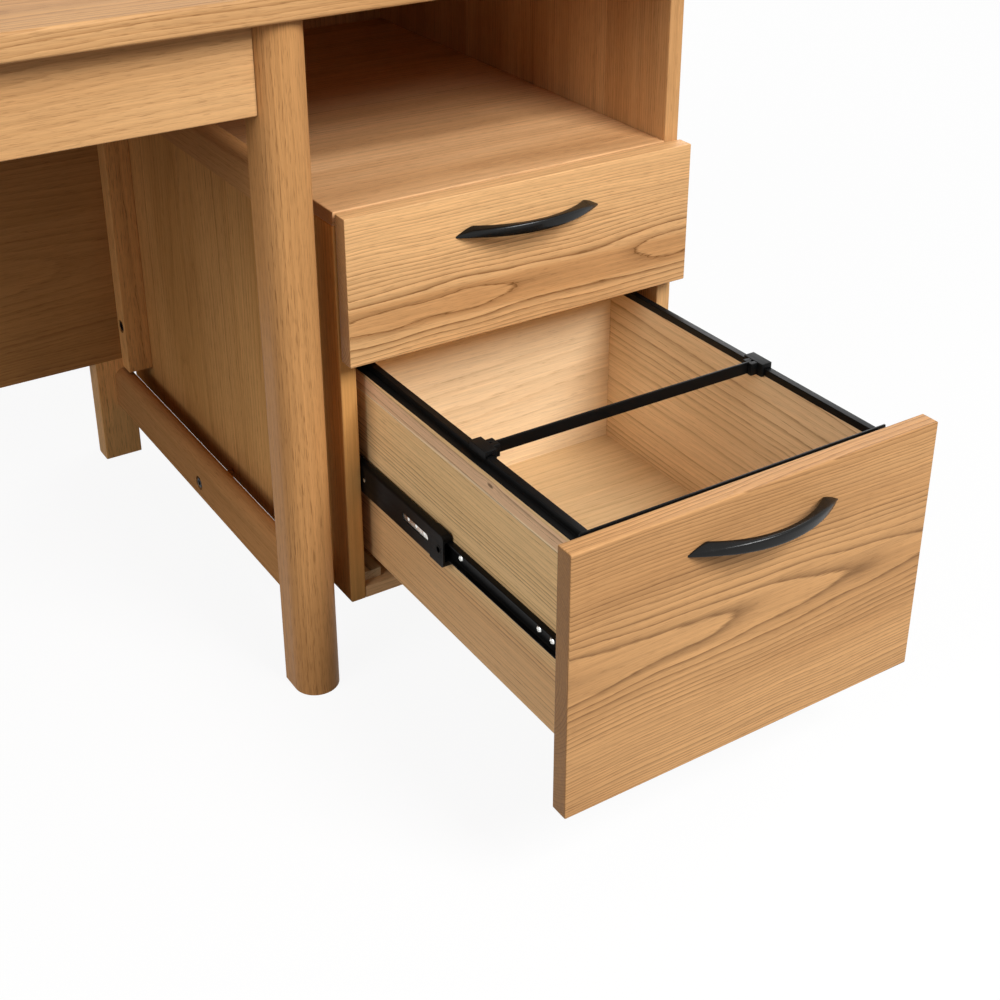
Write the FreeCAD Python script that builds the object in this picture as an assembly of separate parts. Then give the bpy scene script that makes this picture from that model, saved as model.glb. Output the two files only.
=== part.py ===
import FreeCAD, Part
import os

# Computer desk: two leg frames, a top, a modesty panel and a drawer pedestal hung outside the right frame.
# Millimetres, X to the right, Y to the back, Z up. The file drawer stands open at rest.

# Desktop and leg frames
desk_height = 762.0
desktop_width = 1524.0
desktop_thickness = 25.0
desktop_front_overhang = 10.0
desktop_back_overhang = 10.0
desktop_side_overhang = 12.0
desktop_ease = 3.0
edge_ease = 1.5
frame_depth = 667.0
frame_gap = 20.0
leg_width = 50.0
leg_depth = 50.0
leg_lead = 20.0
rail_thickness = 25.0
lower_rail_bottom = 78.5
lower_rail_height = 53.0
mid_rail_drop = 159.0
mid_rail_height = 42.0
top_rail_height = 50.0
apron_thickness = 20.0
front_apron_height = 89.0
rear_apron_height = 50.0

# Modesty panel, the cleat that holds it to the pedestal, and its housing in the left leg
modesty_thickness = 15.0
modesty_bottom = 146.0
modesty_housing = 25.0
cleat_width = 33.0
cleat_depth = 25.0
cleat_gap = 2.5
cleat_bolt_inset = 64.0

# Pedestal case
pedestal_width = 420.0
pedestal_depth = 647.0
pedestal_height = 451.0
pedestal_floor_gap = 90.0
side_thickness = 18.0
top_thickness = 15.0
bottom_thickness = 14.0
back_thickness = 6.0
divider_height = 15.0
divider_depth = 60.0
divider_lift = 1.0
corner_cleat_width = 24.0
corner_cleat_height = 11.0
corner_cleat_setback = 10.0

# Drawer fronts and boxes
front_thickness = 20.0
front_standoff = 4.0
front_gap = 7.0
bottom_reveal = 8.0
top_front_height = 158.0
box_length = 450.0
box_board = 14.0
box_panel = 6.0
groove_depth = 6.0
groove_clearance = 0.15
file_side_drop = 20.9
file_side_base = 37.5
file_bottom_lift = 20.5
file_slide_lift = 103.5
top_side_base = 13.0
top_side_headroom = 16.0
top_bottom_lift = 12.0
file_open_by = 381.0

# Ball slides, three nested members on each side of a drawer
slide_space = 13.0
slide_height = 45.0
slide_sheet = 1.2
slide_clearance = 0.3
outer_race = 4.2
middle_race = 7.2
inner_member_depth = 7.0
slide_lip_gap = 2.0
slide_front_setback = 1.0
middle_setback = 23.5
bumper_length = 26.5
bumper_web = 2.0
bumper_proud = 0.3
bumper_round = 5.0
outer_setback = 4.0
slot_from_bumper = 4.0
slot_length = 52.0
slot_height = 8.0
retainer_sheet = 1.0
retainer_margin = 2.0
case_screw_places = (30.0, 180.0, 380.0)
drawer_screw_places = (46.0, 67.0, 202.0, 394.0)

# Hanging-file frame on the file drawer
hanger_sheet = 1.2
hanger_rib = 7.4
hanger_rise = 7.9
hanger_overhang = 1.2
kerf_width = 2.2
kerf_depth = 8.2
kerf_slack = 0.1
strip_thickness = 2.0
strip_rise = 4.0
strip_below = 14.0
strip_inset = 2.0
bar_setback = 167.0
bar_thickness = 2.5
bar_height = 13.0
bar_seat = 5.0
clip_length = 28.0
clip_clearance = 0.3
clip_plate = 5.5
clip_lip = 1.0
clip_lip_drop = 2.5
clip_leg = 3.8
clip_leg_drop = 8.5
socket_depth = 11.8
socket_length = 14.0
socket_slack = 0.1

# Bow handles
handle_length = 174.0
handle_projection = 29.0
handle_bar = 8.0
handle_foot = 20.0
handle_height = 12.0
handle_round = 3.0
handle_drop = 40.0

# Fasteners
bolt_radius = 4.0
bolt_head_radius = 6.5
bolt_head_height = 8.0
bolt_recess_radius = 9.0
bolt_recess = 8.5
bolt_socket_radius = 3.4
bolt_socket_depth = 4.0
bolt_bite = 12.0
panel_bolt_bite = 25.0
fastener_clearance = 0.2
spacer_radius = 5.5
screw_radius = 2.0
screw_head_radius = 3.5
screw_head_height = 2.0
screw_bite = 10.0
handle_screw_bite = 5.0
handle_screw_share = 0.65
bracket_leg = 30.0
bracket_width = 25.0
bracket_sheet = 2.5
bracket_inset = 180.0

# Places across the desk: x = 0 is the pedestal's left face
case_inner_left = side_thickness
case_inner_right = pedestal_width - side_thickness
frame_right = -frame_gap
right_leg = frame_right - leg_width
desk_right = pedestal_width + desktop_side_overhang
desk_left = desk_right - desktop_width
frame_left = desk_left + desktop_side_overhang
left_leg_inner = frame_left + leg_width
box_left = case_inner_left + slide_space
box_right = case_inner_right - slide_space
box_inner_left = box_left + box_board
box_inner_right = box_right - box_board
middle_of_case = pedestal_width / 2

# Places front to back: y = 0 is the front edge of the pedestal's sides
leg_tip = -leg_lead
leg_back = leg_tip + leg_depth
rear_tip = leg_tip + frame_depth
rear_flat = rear_tip - leg_depth
desk_front = leg_tip - desktop_front_overhang
desk_back = rear_tip + desktop_back_overhang
case_inner_back = pedestal_depth - back_thickness
box_front = -front_standoff
box_back = box_front + box_length
inner_front_back = box_front + box_board
back_board = box_back - box_board
front_face = box_front - front_thickness

# Heights: z = 0 is the floor
under_top = desk_height - desktop_thickness
case_bottom = pedestal_floor_gap
case_top = case_bottom + pedestal_height
case_inner_bottom = case_bottom + bottom_thickness
case_inner_top = case_top - top_thickness
top_front_bottom = case_top - top_front_height
file_front_top = top_front_bottom - front_gap
file_front_bottom = case_bottom + bottom_reveal
divider_bottom = file_front_top + divider_lift
divider_top = divider_bottom + divider_height
file_side_top = file_front_top - file_side_drop
file_side_bottom = file_front_bottom + file_side_base
file_slide_z = file_side_bottom + file_slide_lift
top_side_bottom = divider_top + top_side_base
top_side_top = case_inner_top - top_side_headroom
top_slide_z = (top_side_bottom + top_side_top) / 2
modesty_top = under_top - rear_apron_height
mid_rail_top = under_top - mid_rail_drop
mid_rail_bottom = mid_rail_top - mid_rail_height
lower_rail_top = lower_rail_bottom + lower_rail_height
cleat_bottom = lower_rail_top + cleat_gap
cleat_top = mid_rail_bottom - cleat_gap
lower_bolt_z = case_bottom + bottom_thickness / 2
lower_bolt_y = (leg_back + rear_flat) / 2
cleat_bolt_y = rear_flat - cleat_depth / 2
cleat_bolt_heights = (cleat_bottom + cleat_bolt_inset, cleat_top - cleat_bolt_inset)

# The origin is on the floor, under the middle of the whole desk with its file drawer open
open_reach = front_face - file_open_by - handle_projection
origin = FreeCAD.Vector((desk_left + desk_right) / 2, (open_reach + desk_back) / 2, 0)

along_x = FreeCAD.Vector(1, 0, 0)
along_y = FreeCAD.Vector(0, 1, 0)
along_z = FreeCAD.Vector(0, 0, 1)


def save(node, *solids, slid=0.0):
    # One file for each node, moved from its closed place to where it is at rest
    shape = solids[0] if len(solids) == 1 else Part.makeCompound(list(solids))
    shape = shape.copy()
    shape.translate(FreeCAD.Vector(0, -slid, 0) - origin)
    shape.exportStep("parts/" + node + ".step")


def block(x0, x1, y0, y1, z0, z1):
    return Part.makeBox(x1 - x0, y1 - y0, z1 - z0, FreeCAD.Vector(x0, y0, z0))


def runs_along(edge, axis):
    run = edge.Vertexes[-1].Point - edge.Vertexes[0].Point
    return abs(run.dot(axis)) > 0.999 * run.Length


def board(x0, x1, y0, y1, z0, z1, eased, ease=edge_ease):
    # A board whose edges that run along the eased axes are rounded
    solid = block(x0, x1, y0, y1, z0, z1)
    radius = min(ease, min(x1 - x0, y1 - y0, z1 - z0) / 3)
    edges = [edge for edge in solid.Edges if any(runs_along(edge, axis) for axis in eased)]
    return solid.makeFillet(radius, edges)


def pin(x, y, z, direction, length, radius):
    return Part.makeCylinder(radius, length, FreeCAD.Vector(x, y, z), direction)


def headed(x, y, z, direction, length, radius, head_radius, head_height):
    # A shank from the seat along the direction, and a head on the other side of the seat
    shank = pin(x, y, z, direction, length, radius)
    return shank.fuse(pin(x, y, z, -direction, head_height, head_radius)).removeSplitter()


def mirrored(shape):
    # The same piece on the other side of the pedestal
    return shape.mirror(FreeCAD.Vector(middle_of_case, 0, 0), along_x)


def d_post(x0, y_flat, y_tip, z0, z1):
    # A leg of D section: flat at y_flat, half round at y_tip
    radius = leg_width / 2
    y_arc = y_tip + radius if y_flat > y_tip else y_tip - radius
    x1 = x0 + leg_width
    outline = ((x1, y_arc), (x1, y_flat), (x0, y_flat), (x0, y_arc))
    corners = [FreeCAD.Vector(x, y, z0) for x, y in outline]
    tip = FreeCAD.Vector(x0 + radius, y_tip, z0)
    sides = [Part.makeLine(first, second) for first, second in zip(corners, corners[1:])]
    nose = Part.Arc(corners[-1], tip, corners[0]).toShape()
    solid = Part.Face(Part.Wire(sides + [nose])).extrude(FreeCAD.Vector(0, 0, z1 - z0))
    flat_edges = [edge for edge in solid.Edges
                  if runs_along(edge, along_z) and abs(edge.CenterOfMass.y - y_flat) < edge_ease]
    return solid.makeFillet(edge_ease, flat_edges)


def round_rail(x0, y0, y1, z0, z1):
    # A rail whose top edge is a half round as wide as the rail
    radius = rail_thickness / 2
    x1 = x0 + rail_thickness
    z_arc = z1 - radius
    outline = ((x1, z_arc), (x1, z0), (x0, z0), (x0, z_arc))
    corners = [FreeCAD.Vector(x, y0, z) for x, z in outline]
    crown = FreeCAD.Vector(x0 + radius, y0, z1)
    sides = [Part.makeLine(first, second) for first, second in zip(corners, corners[1:])]
    top = Part.Arc(corners[-1], crown, corners[0]).toShape()
    return Part.Face(Part.Wire(sides + [top])).extrude(FreeCAD.Vector(0, y1 - y0, 0))


def bolt(x_seat, y, z, direction, length):
    # A socket-head bolt with its head recessed behind the seat
    solid = headed(x_seat, y, z, direction, length, bolt_radius, bolt_head_radius, bolt_head_height)
    mouth = FreeCAD.Vector(x_seat, y, z) - direction * bolt_head_height
    return solid.cut(pin(mouth.x, y, z, direction, bolt_socket_depth, bolt_socket_radius))


def bolt_hole(x0, x1, y, z):
    return pin(x0, y, z, along_x, x1 - x0, bolt_radius + fastener_clearance)


def recess(x_face, y, z, direction):
    return pin(x_face, y, z, direction, bolt_recess, bolt_recess_radius)


def channel(x_web, x_lip, web, half_height, race, y0, y1, z):
    # A C section along Y: the web stands at x_web, and the two lips reach to x_lip
    inner = x_web + web if x_lip > x_web else x_web - web
    half_hollow = half_height - race
    outside = block(min(x_web, x_lip), max(x_web, x_lip), y0, y1, z - half_height, z + half_height)
    hollow = block(min(inner, x_lip), max(inner, x_lip), y0, y1, z - half_hollow, z + half_hollow)
    return outside.cut(hollow)


def long_slot(x0, x1, y0, y1, z, height):
    radius = height / 2
    middle = block(x0, x1, y0 + radius, y1 - radius, z - radius, z + radius)
    ends = [pin(x0, y, z, along_x, x1 - x0, radius) for y in (y0 + radius, y1 - radius)]
    return middle.multiFuse(ends).removeSplitter()


def slide_set(name, z, slid):
    # The three members on each side of one drawer, with end bumpers, ball retainers and screws
    outer_half = slide_height / 2
    middle_half = outer_half - outer_race - slide_clearance
    inner_half = middle_half - middle_race - slide_clearance
    outer_web = case_inner_left
    middle_web = outer_web + slide_sheet + slide_clearance
    middle_inner = middle_web + slide_sheet
    lips = box_left - slide_lip_gap
    bumper_back = middle_setback + bumper_length
    inner_front = box_front + slide_front_setback
    back = inner_front + box_length

    outer_front = bumper_back + outer_setback
    outer = channel(outer_web, lips, slide_sheet, outer_half, outer_race, outer_front, back, z)
    middle = channel(middle_web, lips, slide_sheet, middle_half, middle_race, bumper_back, back, z)
    inner = channel(box_left, box_left - inner_member_depth, slide_sheet, inner_half, slide_sheet,
                    inner_front, back, z)

    slot_front = bumper_back + slot_from_bumper
    slot_back = slot_front + slot_length
    middle = middle.cut(long_slot(middle_web, middle_inner, slot_front, slot_back, z, slot_height))
    retainer = block(middle_inner, middle_inner + retainer_sheet, slot_front - retainer_margin,
                     slot_back + retainer_margin, z - slot_height / 2 - retainer_margin,
                     z + slot_height / 2 + retainer_margin)

    bumper_half = middle_half + bumper_proud
    bumper = channel(middle_inner - bumper_web, lips, bumper_web, bumper_half,
                     bumper_half - inner_half - slide_clearance, middle_setback, bumper_back, z)
    corners = [edge for edge in bumper.Edges
               if runs_along(edge, along_x) and abs(edge.CenterOfMass.y - middle_setback) < slide_clearance
               and abs(abs(edge.CenterOfMass.z - z) - bumper_half) < slide_clearance]
    bumper = bumper.makeFillet(min(bumper_round, bumper_half - inner_half - 2 * slide_clearance), corners)

    case_screws = []
    head_hole = screw_head_radius + fastener_clearance
    for place in case_screw_places:
        y = outer_front + place
        case_screws.append(headed(outer_web, y, z, -along_x, screw_bite, screw_radius, screw_head_radius,
                                  slide_sheet))
        outer = outer.cut(pin(outer_web, y, z, along_x, slide_sheet, head_hole))

    drawer_screws = []
    for place in drawer_screw_places:
        y = box_front + place
        seat = box_left - slide_sheet
        drawer_screws.append(headed(seat, y, z, along_x, screw_bite, screw_radius, screw_head_radius,
                                    screw_head_height))
        inner = inner.cut(pin(seat, y, z, along_x, slide_sheet, screw_radius + fastener_clearance))

    half_slid = slid / 2
    save(name + "_slide_outer", outer, mirrored(outer))
    save(name + "_slide_middle", middle, mirrored(middle), slid=half_slid)
    save(name + "_slide_bumpers", bumper, mirrored(bumper), slid=half_slid)
    save(name + "_slide_retainers", retainer, mirrored(retainer), slid=half_slid)
    save(name + "_slide_inner", inner, mirrored(inner), slid=slid)
    both_sides = drawer_screws + [mirrored(screw) for screw in drawer_screws]
    save(name + "_slide_screws", *both_sides, slid=slid)
    return case_screws


def screw_holes(places, z, first_y, x, direction):
    # Pilot holes for the screws of one slide member
    reach = screw_bite + fastener_clearance
    radius = screw_radius + fastener_clearance
    return [pin(x, first_y + place, z, direction, reach, radius) for place in places]


def bow_handle(face_y, z):
    # A crescent seen from above: an outer arc end to end, and an inner arc that starts inside the two feet
    half = handle_length / 2
    inner_half = half - handle_foot
    depth = handle_projection - handle_bar
    low = z - handle_height / 2

    def point(x, out):
        return FreeCAD.Vector(middle_of_case + x, face_y - out, low)

    outer_arc = Part.Arc(point(-half, 0), point(0, handle_projection), point(half, 0)).toShape()
    inner_arc = Part.Arc(point(-inner_half, 0), point(0, depth), point(inner_half, 0)).toShape()
    feet = [Part.makeLine(point(side * half, 0), point(side * inner_half, 0)) for side in (-1, 1)]
    outline = Part.Wire(Part.__sortEdges__([outer_arc, inner_arc] + feet))
    solid = Part.Face(outline).extrude(FreeCAD.Vector(0, 0, handle_height))
    rims = [edge for edge in solid.Edges if edge.Length > handle_length]
    return solid.makeFillet(min(handle_round, handle_height / 4, handle_bar / 3), rims)


def handle_screw_sites():
    reach = handle_length / 2 - handle_foot * handle_screw_share
    return (middle_of_case - reach, middle_of_case + reach)


def kerf(slack=0.0):
    # The slot along the top of the left file drawer side, or with some slack the spline that goes into it
    middle = (box_left + box_inner_left) / 2
    half = kerf_width / 2 - slack
    return block(middle - half, middle + half, box_front, box_back, file_side_top - kerf_depth + slack,
                 file_side_top)


def drawer(name, front_bottom, front_top, side_bottom, side_top, bottom_lift, slide_z, slid, slots=()):
    # A front, a box with a grooved-in bottom, a bow handle and its two screws
    panel_bottom = side_bottom + bottom_lift
    panel_top = panel_bottom + box_panel
    tongue = groove_depth - groove_clearance
    groove = block(box_inner_left - groove_depth, box_inner_right + groove_depth,
                   inner_front_back - groove_depth, back_board + groove_depth,
                   panel_bottom - groove_clearance, panel_top + groove_clearance)

    front = board(0, pedestal_width, front_face, box_front, front_bottom, front_top,
                  (along_x, along_y, along_z))
    left = board(box_left, box_inner_left, box_front, box_back, side_bottom, side_top, (along_y,))
    holes = screw_holes(drawer_screw_places, slide_z, box_front, box_left, along_x)
    left = left.cut(groove).cut(Part.makeCompound(holes))
    for slot in slots:
        left = left.cut(slot)
    inner_front = board(box_inner_left, box_inner_right, box_front, inner_front_back, side_bottom, side_top,
                        (along_x,))
    back = board(box_inner_left, box_inner_right, back_board, box_back, side_bottom, side_top, (along_x,))
    panel = block(box_inner_left - tongue, box_inner_right + tongue, inner_front_back - tongue,
                  back_board + tongue, panel_bottom, panel_top)

    handle_z = front_top - handle_drop
    handle = bow_handle(front_face, handle_z)
    handle_screws = []
    stack = inner_front_back - front_face
    inner_front = inner_front.cut(groove)
    for x in handle_screw_sites():
        reach = stack + handle_screw_bite
        handle_screws.append(headed(x, inner_front_back, handle_z, -along_y, reach, screw_radius,
                                    screw_head_radius, screw_head_height))
        hole = pin(x, inner_front_back, handle_z, -along_y, reach + fastener_clearance,
                   screw_radius + fastener_clearance)
        inner_front = inner_front.cut(hole)
        front = front.cut(hole)
        handle = handle.cut(hole)

    save(name + "_drawer_front", front, slid=slid)
    save(name + "_drawer_left_side", left, slid=slid)
    save(name + "_drawer_right_side", mirrored(left), slid=slid)
    save(name + "_drawer_inner_front", inner_front, slid=slid)
    save(name + "_drawer_back", back.cut(groove), slid=slid)
    save(name + "_drawer_bottom", panel, slid=slid)
    save(name + "_drawer_handle", handle, slid=slid)
    save(name + "_handle_screws", *handle_screws, slid=slid)


def hanging_file_frame():
    # Ribbed rails set in slots along the drawer sides, a front strip on them, and a cross bar on two sliding clips
    rib_inner = box_inner_left + hanger_overhang
    rib_outer = rib_inner - hanger_rib
    rib_top = file_side_top + hanger_rise
    hanger = block(box_left, rib_inner, box_front, box_back, file_side_top, file_side_top + hanger_sheet)
    rib = block(rib_outer, rib_inner, box_front, box_back, file_side_top, rib_top)
    hanger = hanger.fuse(rib).fuse(kerf(kerf_slack)).removeSplitter()
    save("file_rail_left", hanger, slid=file_open_by)
    save("file_rail_right", mirrored(hanger), slid=file_open_by)

    strip_back = inner_front_back + strip_thickness
    strip_left = box_left + strip_inset
    strip = block(strip_left, pedestal_width - strip_left, inner_front_back, strip_back,
                  rib_top, rib_top + strip_rise)
    lower_left = rib_inner + clip_clearance
    lower = block(lower_left, pedestal_width - lower_left, inner_front_back, strip_back,
                  file_side_top - strip_below, rib_top)
    save("file_rail_front", strip.fuse(lower).removeSplitter(), slid=file_open_by)

    bar_y = strip_back + bar_setback + bar_thickness / 2
    clip_front = bar_y - clip_length / 2
    clip_back = bar_y + clip_length / 2
    lip_right = rib_outer - clip_clearance
    leg_left = rib_inner + clip_clearance
    plate_bottom = rib_top + clip_clearance
    clip_top = plate_bottom + clip_plate
    lip_left = lip_right - clip_lip
    leg_bottom = rib_top - clip_leg_drop
    clip = board(lip_left, leg_left + clip_leg, clip_front, clip_back, leg_bottom, clip_top,
                 (along_y, along_z))
    clip = clip.cut(block(lip_right, leg_left, clip_front, clip_back, leg_bottom, plate_bottom))
    clip = clip.cut(block(lip_left, lip_right, clip_front, clip_back, leg_bottom, rib_top - clip_lip_drop))
    socket_right = leg_left + socket_depth
    socket = board(leg_left, socket_right, bar_y - socket_length / 2, bar_y + socket_length / 2,
                   leg_bottom, clip_top, (along_z,))
    clip = clip.fuse(socket).removeSplitter()

    bar_left = socket_right - bar_seat
    bar_top = clip_top - clip_clearance
    bar_half = bar_thickness / 2
    bar = block(bar_left, pedestal_width - bar_left, bar_y - bar_half, bar_y + bar_half,
                bar_top - bar_height, bar_top)
    seat = block(bar_left - socket_slack, socket_right, bar_y - bar_half - socket_slack,
                 bar_y + bar_half + socket_slack, bar_top - bar_height - socket_slack, clip_top)
    clip = clip.cut(seat)
    save("hanging_cross_bar", bar, slid=file_open_by)
    save("cross_bar_clips", clip, mirrored(clip), slid=file_open_by)


def leg_frames():
    # Two legs and three rails at each end, with the modesty panel let into the rear legs
    rear_housing_right = block(right_leg, frame_right, rear_flat, rear_flat + modesty_thickness,
                               modesty_bottom, modesty_top)
    rear_housing_left = block(left_leg_inner - modesty_housing, left_leg_inner, rear_flat,
                              rear_flat + modesty_thickness, modesty_bottom, modesty_top)
    save("right_front_leg", d_post(right_leg, leg_back, leg_tip, 0, under_top))
    save("right_rear_leg", d_post(right_leg, rear_flat, rear_tip, 0, under_top).cut(rear_housing_right))
    save("left_front_leg", d_post(frame_left, leg_back, leg_tip, 0, under_top))
    save("left_rear_leg", d_post(frame_left, rear_flat, rear_tip, 0, under_top).cut(rear_housing_left))

    right_rail = frame_right - rail_thickness
    lower = round_rail(right_rail, leg_back, rear_flat, lower_rail_bottom, lower_rail_top)
    lower = lower.cut(recess(right_rail, lower_bolt_y, lower_bolt_z, along_x))
    save("right_lower_rail", lower.cut(bolt_hole(right_rail, frame_right, lower_bolt_y, lower_bolt_z)))
    save("left_lower_rail", round_rail(frame_left, leg_back, rear_flat, lower_rail_bottom, lower_rail_top))
    for side, x in (("left", frame_left), ("right", right_rail)):
        save(side + "_mid_rail", round_rail(x, leg_back, rear_flat, mid_rail_bottom, mid_rail_top))
        save(side + "_top_rail", board(x, x + rail_thickness, leg_back, rear_flat,
                                       under_top - top_rail_height, under_top, (along_y,)))


def desk_boards():
    # The top, the aprons, the modesty panel and its cleat
    save("desktop", board(desk_left, desk_right, desk_front, desk_back, under_top, desk_height,
                          (along_x, along_y, along_z), desktop_ease))
    save("front_apron", board(left_leg_inner, right_leg, 0, apron_thickness, under_top - front_apron_height,
                              under_top, (along_x,)))
    save("rear_apron", board(left_leg_inner, right_leg, rear_flat, rear_flat + apron_thickness,
                             under_top - rear_apron_height, under_top, (along_x,)))
    save("modesty_panel", block(left_leg_inner - modesty_housing, 0, rear_flat,
                                rear_flat + modesty_thickness, modesty_bottom, modesty_top))
    cleat = board(-cleat_width, 0, rear_flat - cleat_depth, rear_flat, cleat_bottom, cleat_top,
                  (along_y, along_z))
    for z in cleat_bolt_heights:
        cleat = cleat.cut(recess(-cleat_width, cleat_bolt_y, z, along_x))
        cleat = cleat.cut(bolt_hole(-cleat_width, 0, cleat_bolt_y, z))
    save("modesty_cleat", cleat)


def bracket(x, y, turn):
    # An angle bracket under the top, against a rail or a panel
    reach = block(-bracket_width / 2, bracket_width / 2, 0, bracket_leg, -bracket_sheet, 0)
    hang = block(-bracket_width / 2, bracket_width / 2, 0, bracket_sheet, -bracket_leg, 0)
    solid = reach.fuse(hang).removeSplitter()
    solid.rotate(FreeCAD.Vector(0, 0, 0), along_z, turn)
    solid.translate(FreeCAD.Vector(x, y, under_top))
    return solid


def pedestal(slide_screws):
    # The case between the leg frame and the right end, its right side and back reaching up to the top
    left = board(0, side_thickness, 0, pedestal_depth, case_bottom, case_inner_top, (along_y, along_z))
    side_screw_holes = []
    for z in (top_slide_z, file_slide_z):
        first = middle_setback + bumper_length + outer_setback
        side_screw_holes += screw_holes(case_screw_places, z, first, case_inner_left, -along_x)
    left = left.cut(Part.makeCompound(side_screw_holes))
    bottom = block(case_inner_left, case_inner_right, 0, case_inner_back, case_bottom, case_inner_bottom)

    lower_seat = frame_right - rail_thickness + bolt_recess
    lower_end = side_thickness + panel_bolt_bite
    bolts = [bolt(lower_seat, lower_bolt_y, lower_bolt_z, along_x, lower_end - lower_seat)]
    left = left.cut(bolt_hole(0, side_thickness, lower_bolt_y, lower_bolt_z))
    lower_tip = lower_end + fastener_clearance
    bottom = bottom.cut(bolt_hole(side_thickness, lower_tip, lower_bolt_y, lower_bolt_z))
    cleat_seat = -cleat_width + bolt_recess
    for z in cleat_bolt_heights:
        bolts.append(bolt(cleat_seat, cleat_bolt_y, z, along_x, bolt_bite - cleat_seat))
        left = left.cut(bolt_hole(0, bolt_bite + fastener_clearance, cleat_bolt_y, z))
    spacer = pin(frame_right, lower_bolt_y, lower_bolt_z, along_x, frame_gap, spacer_radius)
    spacer = spacer.cut(bolt_hole(frame_right, 0, lower_bolt_y, lower_bolt_z))

    right = board(case_inner_right, pedestal_width, 0, pedestal_depth, case_bottom, under_top,
                  (along_y, along_z))
    right = right.cut(Part.makeCompound([mirrored(hole) for hole in side_screw_holes]))
    corner = block(case_inner_left, case_inner_left + corner_cleat_width, corner_cleat_setback,
                   case_inner_back, case_inner_bottom, case_inner_bottom + corner_cleat_height)

    save("pedestal_left_side", left)
    save("pedestal_right_side", right)
    save("pedestal_top", board(0, case_inner_right, 0, case_inner_back, case_inner_top, case_top,
                               (along_x, along_y)))
    save("pedestal_bottom", bottom)
    save("pedestal_back", block(case_inner_left, case_inner_right, case_inner_back, pedestal_depth,
                                case_bottom, under_top))
    save("pedestal_divider", block(case_inner_left, case_inner_right, 0, divider_depth,
                                   divider_bottom, divider_top))
    save("bottom_cleats", corner, mirrored(corner))
    save("frame_bolts", *bolts)
    save("pedestal_spacers", spacer)
    foot_x = pedestal_width - leg_width
    save("pedestal_feet", d_post(foot_x, leg_back, leg_tip, 0, case_bottom),
         d_post(foot_x, pedestal_depth - leg_depth, pedestal_depth, 0, case_bottom))
    save("slide_case_screws", *slide_screws, *[mirrored(screw) for screw in slide_screws])

    middle_y = (leg_back + rear_flat) / 2
    front_places = (left_leg_inner + bracket_inset, right_leg - bracket_inset)
    brackets = [bracket(x, apron_thickness, 0) for x in front_places]
    brackets += [bracket(x, rear_flat, 180) for x in front_places]
    brackets.append(bracket(frame_left + rail_thickness, middle_y, -90))
    brackets.append(bracket(frame_right - rail_thickness, middle_y, 90))
    brackets.append(bracket(case_inner_right, middle_y, 90))
    save("desktop_brackets", *brackets)


os.makedirs("parts", exist_ok=True)
desk_boards()
leg_frames()
drawer("top", top_front_bottom, case_top, top_side_bottom, top_side_top, top_bottom_lift, top_slide_z, 0.0)
drawer("file", file_front_bottom, file_front_top, file_side_bottom, file_side_top, file_bottom_lift,
       file_slide_z, file_open_by, [kerf()])
case_screws = slide_set("top", top_slide_z, 0.0) + slide_set("file", file_slide_z, file_open_by)
pedestal(case_screws)
hanging_file_frame()
print("nodes", len(os.listdir("parts")), "origin", origin)
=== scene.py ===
import bpy
import bmesh
import math
import numpy as np
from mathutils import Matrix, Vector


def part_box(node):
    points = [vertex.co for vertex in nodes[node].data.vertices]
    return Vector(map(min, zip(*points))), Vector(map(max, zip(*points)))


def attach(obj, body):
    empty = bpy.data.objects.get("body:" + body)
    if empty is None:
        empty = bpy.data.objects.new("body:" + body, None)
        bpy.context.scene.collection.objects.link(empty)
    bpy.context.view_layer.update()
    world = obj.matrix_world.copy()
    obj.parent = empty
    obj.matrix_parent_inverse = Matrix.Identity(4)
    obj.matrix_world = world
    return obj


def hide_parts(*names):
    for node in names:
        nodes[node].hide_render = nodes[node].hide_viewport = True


# Computer desk with a drawer pedestal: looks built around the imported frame, in metres
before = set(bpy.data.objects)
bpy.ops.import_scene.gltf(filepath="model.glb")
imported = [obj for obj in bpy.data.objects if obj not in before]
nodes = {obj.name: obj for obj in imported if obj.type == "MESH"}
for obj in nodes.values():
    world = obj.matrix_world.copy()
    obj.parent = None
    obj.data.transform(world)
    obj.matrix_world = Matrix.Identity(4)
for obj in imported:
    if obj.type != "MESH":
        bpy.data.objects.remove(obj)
scene = bpy.context.scene
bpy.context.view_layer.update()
mm = 0.001
print("desk frame loaded:", len(nodes), "nodes")


def screenColour(r, g, b):  # 0-255 as on a screen, to the linear values that sockets take
    c = np.array([r, g, b]) / 255.0
    lin = np.where(c <= 0.04045, c / 12.92, ((c + 0.055) / 1.055) ** 2.4)
    return (*[float(v) for v in lin], 1.0)


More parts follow.
